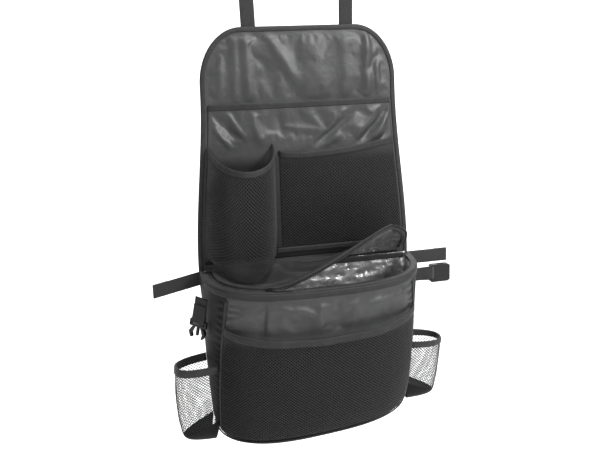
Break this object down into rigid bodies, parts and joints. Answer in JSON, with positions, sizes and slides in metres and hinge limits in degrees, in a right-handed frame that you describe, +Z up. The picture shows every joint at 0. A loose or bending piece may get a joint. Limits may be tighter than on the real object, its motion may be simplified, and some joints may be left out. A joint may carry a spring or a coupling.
{
  "type": "car seat back organizer",
  "caption": "Hanging fabric organizer for a car seat back, with a document pocket, net pockets and an insulated cooler box with a zipped lid.",
  "frame": {"origin": "middle of the back panel's top edge, on its back face, between the headrest straps", "axes": "+Z up, +Y towards the seat back, +X to the right as the rear passenger sees it"},
  "size_m": [0.5868, 0.1835, 0.8657],
  "materials": {
    "nylon": "charcoal coated nylon with a soft satin sheen",
    "net": "black knitted diamond net",
    "tape": "matte black binding tape",
    "webbing": "black ribbed polypropylene webbing",
    "foil": "crinkled silver insulating foil",
    "plastic": "black moulded plastic"
  },
  "bodies": {
    "root": {"back_panel": "nylon", "edge_binding": "tape", "document_pocket": "nylon", "document_pocket_hem": "tape", "flat_pocket_net": "net", "flat_pocket_binding": "tape", "net_divider_tape": "tape", "net_foot_tape": "tape", "bottle_pocket_net": "net", "bottle_pocket_rim": "tape", "cooler_box": "nylon", "foil_liner": "foil", "rim_binding": "tape", "lid": "nylon", "lid_lining": "foil", "lid_binding": "tape", "rim_zip_tape": "tape", "lid_zip_tape": "tape", "zip_slider": "plastic", "zip_pull": "tape", "corner_seam_left": "tape", "corner_seam_right": "tape", "base_piping": "tape", "front_pocket_net": "net", "front_pocket_hem": "tape", "side_net_left": "net", "side_ring_left": "tape", "side_base_left": "nylon", "side_net_right": "net", "side_ring_right": "tape", "side_base_right": "nylon", "headrest_strap_left": "webbing", "headrest_strap_right": "webbing", "waist_strap": "webbing", "buckle_strap_right": "webbing", "buckle_socket": "plastic", "buckle_strap_left": "webbing", "buckle_plug": "plastic"}
  },
  "joints": []
}
